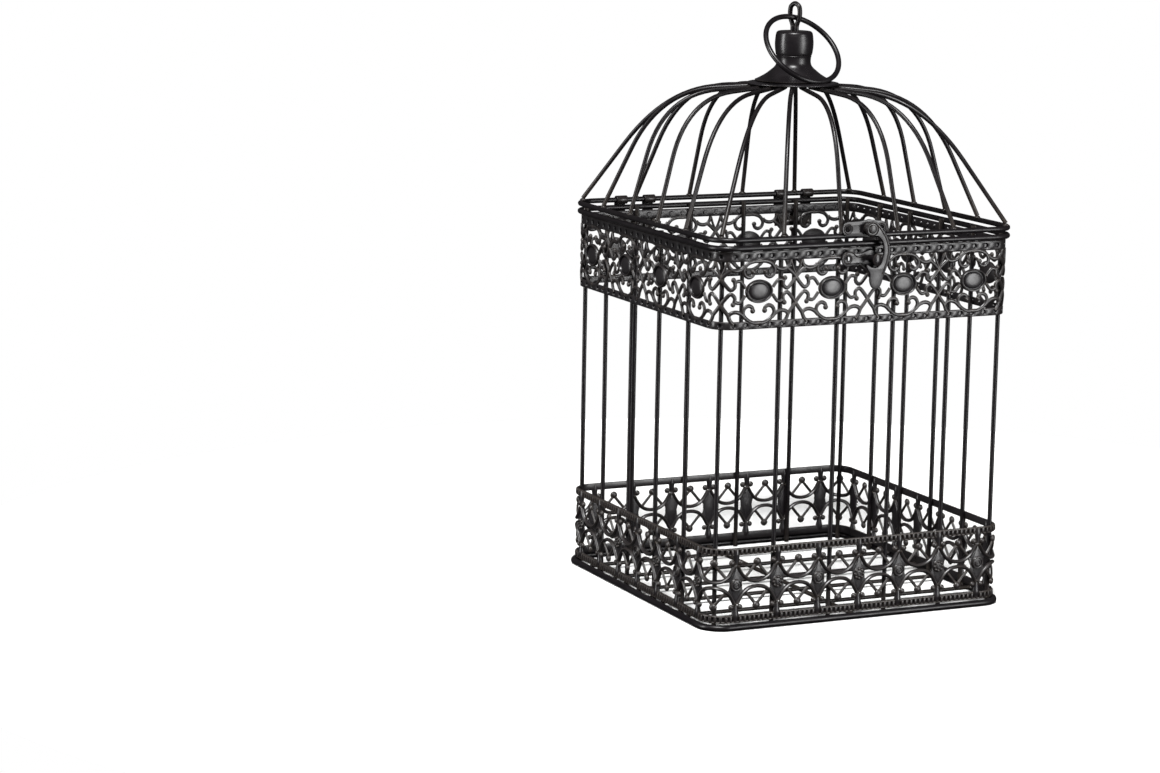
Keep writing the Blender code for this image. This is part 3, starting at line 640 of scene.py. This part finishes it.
def eyePiece():
    # hairpin of wire: two legs rise side by side out of the cap and open into a long eye
    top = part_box("eye_loop")[1].z
    look = {"wire": 1.45 * mm, "turn": radians(20.0), "sides": 14,
            "leg": ((1.5, 330.0), (1.5, 344.6), (1.62, 346.4), (2.3, 348.3), (3.35, 350.4), (3.85, 352.8),
                    (3.85, 355.4), (3.0, 358.2))}
    across = Vector((-sin(look["turn"]), cos(look["turn"]), 0.0))
    leg = [across * a * mm + Vector((0, 0, z * mm)) for a, z in look["leg"]]
    other = [Vector((-p.x, -p.y, p.z)) for p in reversed(leg)]
    line = smoothLine(leg + [Vector((0, 0, top - look["wire"]))] + other, 6)
    bm = bmesh.new()
    addWire(bm, line, look["wire"], look["sides"])
    finishPiece("hairpinEye", bm, wireEnamel, "lid", "eye_loop")


def carryRingPiece():
    # hangs from the eye, leaning forwards onto the cap and rolled a little to one side
    look = {"wire": 1.6 * mm, "radius": 25.0 * mm, "pivot": Vector((0, 0, 351.3 * mm)),
            "lean": radians(46.5), "roll": radians(11.4), "steps": 96, "sides": 16}
    roll = Matrix.Rotation(look["roll"], 3, "Y")
    down = roll @ Vector((0, -cos(look["lean"]), -sin(look["lean"])))
    across = roll @ Vector((1, 0, 0))
    bm = bmesh.new()
    points = [look["pivot"] + down * look["radius"] * (1 - cos(a)) + across * look["radius"] * sin(a)
              for a in (2 * pi * step / look["steps"] for step in range(look["steps"]))]
    addWire(bm, points, look["wire"], look["sides"], True)
    finishPiece("carryRing", bm, wireEnamel, "carry_ring", "carry_ring")


ringPiece("lidRing", "lid_ring", "lid")
ribPieces()
crownPiece()
capPiece()
eyePiece()
carryRingPiece()
print("dome done")


# hinges and latch

def hingePiece(name, node):
    low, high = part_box(node)
    ringZ = nodeMiddle("lid_ring").z
    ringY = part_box("lid_ring")[1].y - nodeSize("lid_ring").z / 2
    # two knuckles curl round the lid's wire and share one leaf that lies on the band; drops are below
    # the wire's middle
    look = {"sheet": 0.8 * mm, "curl": 2.3 * mm, "knuckle": 7.5 * mm, "steps": 14, "leafY": 99.9 * mm,
            "start": -75, "turn": -252, "straight": 5.8 * mm, "ease": 0.5 * mm, "easeDrop": 7.6 * mm,
            "leafDrop": 9.0 * mm, "leafTop": 10.0 * mm, "leafJoin": 11.0 * mm, "knuckleEnd": 12.0 * mm,
            "edge": 0.2 * mm}
    x = (low.x + high.x) / 2
    width = high.x - low.x
    curl = [tuple(p) for p in arc(ringY, ringZ, look["curl"], look["start"], look["start"] + look["turn"],
                                  look["steps"])]
    back, leafY, ease = ringY + look["curl"], look["leafY"], look["ease"]
    bend = [(back, ringZ), (back, ringZ - look["straight"]), (back - ease, ringZ - look["easeDrop"]),
            (leafY + ease, ringZ - look["leafDrop"]), (leafY, ringZ - look["leafTop"])]
    bm = bmesh.new()

    def strip(path, centre, span):
        verts = [bm.verts.new((centre - span / 2, y, z)) for y, z in path]
        edges = [bm.edges.new(pair) for pair in zip(verts, verts[1:])]
        pulled = bmesh.ops.extrude_edge_only(bm, edges=edges)["geom"]
        moved = [item for item in pulled if isinstance(item, bmesh.types.BMVert)]
        bmesh.ops.translate(bm, vec=(span, 0, 0), verts=moved)

    for side in (-1, 1):
        strip(curl + bend + [(leafY, ringZ - look["knuckleEnd"])], x + side * (width - look["knuckle"]) / 2,
              look["knuckle"])
    strip([(leafY, ringZ - look["leafJoin"]), (leafY, low.z)], x, width)
    piece = finishPiece(name, bm, fittingEnamel, "cage", node)
    thicken = piece.modifiers.new("sheet", "SOLIDIFY")
    thicken.thickness = look["sheet"]
    thicken.offset = 0.0
    soften = piece.modifiers.new("edges", "BEVEL")
    soften.width = look["edge"]
    soften.segments = 2
    soften.limit_method = "ANGLE"


def inMetres(points, x, z):
    # (x, z) points in mm round a place
    return [(x + p[0] * mm, z + p[1] * mm) for p in points]


# (x, z) of the two fittings that the hook joins
pivotPlace = (-2.8 * mm, 235.2 * mm)
studPlace = (0.2 * mm, 217.2 * mm)


def latchPlatePiece():
    # plate with two lobes, rolled rims round its screw holes
    low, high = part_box("latch_plate")
    look = {"holes": (-13.9, 8.2), "hole": 1.8, "rim": (2.7 * mm, 0.5 * mm), "rimIn": 0.25 * mm,
            "edge": 0.3 * mm}
    outline = (arc(-13.6, 0, 4.4, 80, 280, 14) + [Vector((-7.0, -4.5))] + arc(0, 0, 5.4, 250, 290, 4)
               + arc(7.6, 0, 4.4, -80, 80, 12) + arc(0, 0, 5.4, 70, 110, 4) + [Vector((-7.0, 4.5))])
    bm = bmesh.new()
    holes = [circle(x, 0, look["hole"]) for x in look["holes"]]
    shapes = [inMetres(line, *pivotPlace) for line in [outline] + holes]
    addPlate(bm, shapes, high.y, high.y - low.y, look["edge"])
    for x in look["holes"]:
        ringRim(bm, pivotPlace[0] + x * mm, low.y + look["rimIn"], pivotPlace[1], *look["rim"])
    finishPiece("latchPlate", bm, fittingEnamel, "lid", "latch_plate")


def latchPivotPiece():
    # stepped barrel with a riveted head in the hook's eye
    low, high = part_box("latch_pivot")
    bm = bmesh.new()
    depth = high.y - low.y
    steps = [(0.0, 0.0), (4.0, 0.0), (4.0, 1.1), (3.7, 1.5), (3.2, 1.7), (3.2, 2.2), (3.5, 2.5), (3.5, 2.9),
             (1.7, 2.9), (1.7, depth / mm - 0.9), (2.6, depth / mm - 0.8), (2.3, depth / mm - 0.25),
             (1.3, depth / mm), (0.0, depth / mm)]
    addTurned(bm, [(r * mm, z * mm) for r, z in steps], 32)
    turn = Matrix.Translation((pivotPlace[0], high.y, pivotPlace[1])) @ Matrix.Rotation(pi / 2, 4, "X")
    bmesh.ops.transform(bm, matrix=turn, verts=bm.verts)
    finishPiece("latchPivot", bm, fittingEnamel, "lid", "latch_pivot")


def latchHookPiece():
    low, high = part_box("latch_hook")
    # arm that bows round the stud, with a prong behind it and a thumb tip below; (x, z) in mm from the pivot
    look = {"eye": 4.6, "hole": 2.1, "edge": 0.45 * mm, "rim": (3.7 * mm, 0.6 * mm), "rimIn": 0.35 * mm,
            "bead": 0.5 * mm, "beadIn": 0.3 * mm, "beadSide": 0.9}
    outer = [(0.2, 4.7), (2.4, 4.3), (4.4, 2.9), (7.5, -0.6), (10.4, -5.0), (12.0, -9.5), (12.4, -14.0),
             (11.6, -19.2), (10.0, -23.7), (8.6, -27.1), (7.7, -30.4), (6.2, -33.9), (3.4, -35.6),
             (0.4, -34.1), (-1.0, -30.6), (-1.0, -27.9)]
    prong = [(-1.3, -25.6), (-2.6, -23.8), (-3.4, -21.9), (-2.4, -20.9), (-1.0, -21.6), (1.0, -22.6),
             (3.4, -22.5), (5.6, -20.9)]
    inner = [(7.1, -17.6), (7.9, -13.6), (7.5, -9.6), (6.1, -6.4), (3.6, -4.4), (1.6, -4.4)]
    line = smoothLine(outer + prong + inner, 4)
    outline = [p for p in line if p.length > look["eye"]] + arc(0, 0, look["eye"], -70, -270, 18)
    bm = bmesh.new()
    shapes = [inMetres(outline, *pivotPlace), inMetres(circle(0, 0, look["hole"], 24), *pivotPlace)]
    addPlate(bm, shapes, high.y, high.y - low.y, look["edge"])
    ringRim(bm, pivotPlace[0], low.y + look["rimIn"], pivotPlace[1], *look["rim"], 32)
    # raised bead along the arm's outer edge
    edge = smoothLine([(4.6, 1.8), (7.3, -1.6), (9.9, -5.6), (11.4, -9.9), (11.7, -14.0), (10.9, -19.0),
                       (9.4, -23.4), (8.0, -27.0)], 4)
    bead = [(pivotPlace[0] + (x - look["beadSide"]) * mm, low.y + look["beadIn"], pivotPlace[1] + z * mm)
            for x, z in edge]
    addWire(bm, bead, look["bead"], 8)
    finishPiece("latchHook", bm, fittingEnamel, "latch_hook", "latch_hook")


def catchPlatePiece():
    # scroll-edged plate: a countersunk lobe, a waist and the stud's seat
    low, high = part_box("catch_plate")
    look = {"hole": (-15.2, 1.7), "edge": 0.3 * mm, "rim": (2.6 * mm, 0.5 * mm), "bead": 0.5 * mm,
            "beadIn": 0.25 * mm}
    outline = (arc(0, 0, 5.0, -130, 120, 18) + [Vector((-5.4, 3.2)), Vector((-8.6, 3.0))]
               + arc(-14.6, 0, 4.6, 55, 300, 22) + [Vector((-10.2, -4.2)), Vector((-6.4, -2.6))])
    bm = bmesh.new()
    holeX, holeR = look["hole"]
    front = low.y + look["beadIn"]
    shapes = [inMetres(line, *studPlace) for line in (outline, circle(holeX, 0, holeR))]
    addPlate(bm, shapes, high.y, high.y - low.y, look["edge"])
    ringRim(bm, studPlace[0] + holeX * mm, front, studPlace[1], *look["rim"])
    scroll = smoothLine([(-17.4, 2.9), (-14.6, 4.1), (-11.8, 3.4), (-9.4, 1.4), (-6.6, 0.9), (-4.4, 2.2)], 4)
    addWire(bm, [(studPlace[0] + x * mm, front, studPlace[1] + z * mm) for x, z in scroll], look["bead"], 8)
    finishPiece("catchPlate", bm, fittingEnamel, "cage", "catch_plate")


def catchStudPiece():
    # riveted stud with an oval head
    low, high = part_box("catch_stud")
    bm = bmesh.new()
    depth = (high.y - low.y) / mm
    steps = [(0.0, 0.0), (1.6, 0.0), (1.6, depth - 1.6), (2.5, depth - 1.6), (2.9, depth - 1.1),
             (2.8, depth - 0.6), (2.1, depth - 0.15), (0.0, depth)]
    addTurned(bm, [(r * mm, z * mm) for r, z in steps], 28)
    oval = Matrix.Translation((studPlace[0], high.y, studPlace[1])) @ Matrix.Diagonal((1, 1, 1.3, 1))
    bmesh.ops.transform(bm, matrix=oval @ Matrix.Rotation(pi / 2, 4, "X"), verts=bm.verts)
    finishPiece("catchStud", bm, fittingEnamel, "cage", "catch_stud")


hingePiece("hingeLeft", "hinge_left")
hingePiece("hingeRight", "hinge_right")
latchPlatePiece()
latchPivotPiece()
latchHookPiece()
catchPlatePiece()
catchStudPiece()
print("hinges and latch done")


# stage

def studioLight(name, place, target, size, power):
    # upright rectangle of soft light, aimed at the target
    lamp = bpy.data.lights.new(name, "AREA")
    lamp.shape = "RECTANGLE"
    lamp.size, lamp.size_y = size
    lamp.energy = power
    obj = bpy.data.objects.new(name, lamp)
    bpy.context.scene.collection.objects.link(obj)
    obj.location = place
    obj.rotation_mode = "QUATERNION"
    obj.rotation_quaternion = (Vector(target) - Vector(place)).to_track_quat("-Z", "Y")


def paleFloor():
    # round white board; its matt paint takes the shadow and gives no gloss
    look = {"radius": 0.55, "segments": 96, "colour": "#f4f4f3", "rough": 0.9}
    bm = bmesh.new()
    bmesh.ops.create_circle(bm, cap_ends=True, segments=look["segments"], radius=look["radius"])
    mesh = bpy.data.meshes.new("floor")
    bm.to_mesh(mesh)
    bm.free()
    floor = bpy.data.objects.new("floor", mesh)
    bpy.context.scene.collection.objects.link(floor)
    matt = bpy.data.materials.new("matt white board")
    matt.use_nodes = True
    shader = matt.node_tree.nodes["Principled BSDF"]
    shader.inputs["Base Color"].default_value = linear(look["colour"])
    shader.inputs["Roughness"].default_value = look["rough"]
    mesh.materials.append(matt)
    floor.visible_diffuse = floor.visible_glossy = False  # no bounced light, so the hollows stay dark


def studio():
    # a dim room with a white backdrop: a soft key light from the upper front left picks out the relief,
    # and two tall strips give the flat faces their sheen
    look = {"room": 0.05, "backdrop": 1.0, "key": 5.4, "spread": radians(17), "from": (-0.35, -0.55, 1.0),
            "target": (0, 0, 0.17)}
    strips = {"leftStrip": {"place": (-1.6, 0.25, 0.45), "size": (0.35, 1.3), "power": 22},
              "rightStrip": {"place": (0.82, -1.6, 0.30), "size": (0.55, 1.1), "power": 27}}
    world = bpy.data.worlds.new("studio")
    bpy.context.scene.world = world
    world.use_nodes = True
    tree = world.node_tree
    room = tree.nodes["Background"]
    ray = addNode(tree, "ShaderNodeLightPath")
    seen = addNode(tree, "ShaderNodeMix", {2: look["room"], 3: look["backdrop"]},
                   [(0, ray, "Is Camera Ray")])
    tree.links.new(seen.outputs[0], room.inputs["Strength"])
    room.inputs["Color"].default_value = (1.0, 1.0, 1.0, 1.0)
    bpy.context.scene.view_settings.view_transform = "Standard"
    key = bpy.data.objects.new("key", bpy.data.lights.new("key", "SUN"))
    key.data.energy = look["key"]
    key.data.angle = look["spread"]
    key.rotation_mode = "QUATERNION"
    key.rotation_quaternion = Vector(look["from"]).to_track_quat("Z", "Y")
    bpy.context.scene.collection.objects.link(key)
    for name, strip in strips.items():
        studioLight(name, strip["place"], look["target"], strip["size"], strip["power"])


def studioCamera():
    # long lens, a little above the rim and to the left of the latch
    look = {"place": (-0.93479, -1.72253, 0.47042), "azimuth": -24.784, "elevation": 10.110, "roll": 0.9575,
            "lens": 99.58, "sensor": 36.0}
    azimuth, elevation, roll = (radians(look[key]) for key in ("azimuth", "elevation", "roll"))
    back = Vector((sin(azimuth) * cos(elevation), -cos(azimuth) * cos(elevation), sin(elevation)))
    right = Vector((cos(azimuth), sin(azimuth), 0.0))
    up = back.cross(right)
    turnedRight = right * cos(roll) + up * sin(roll)
    turnedUp = up * cos(roll) - right * sin(roll)
    camera = bpy.data.cameras.new("camera")
    camera.lens = look["lens"]
    camera.sensor_width = look["sensor"]
    obj = bpy.data.objects.new("camera", camera)
    bpy.context.scene.collection.objects.link(obj)
    turn = Matrix((turnedRight, turnedUp, back)).transposed().to_4x4()
    obj.matrix_world = Matrix.Translation(look["place"]) @ turn
    bpy.context.scene.camera = obj


paleFloor()
studio()
studioCamera()
print("stage done")
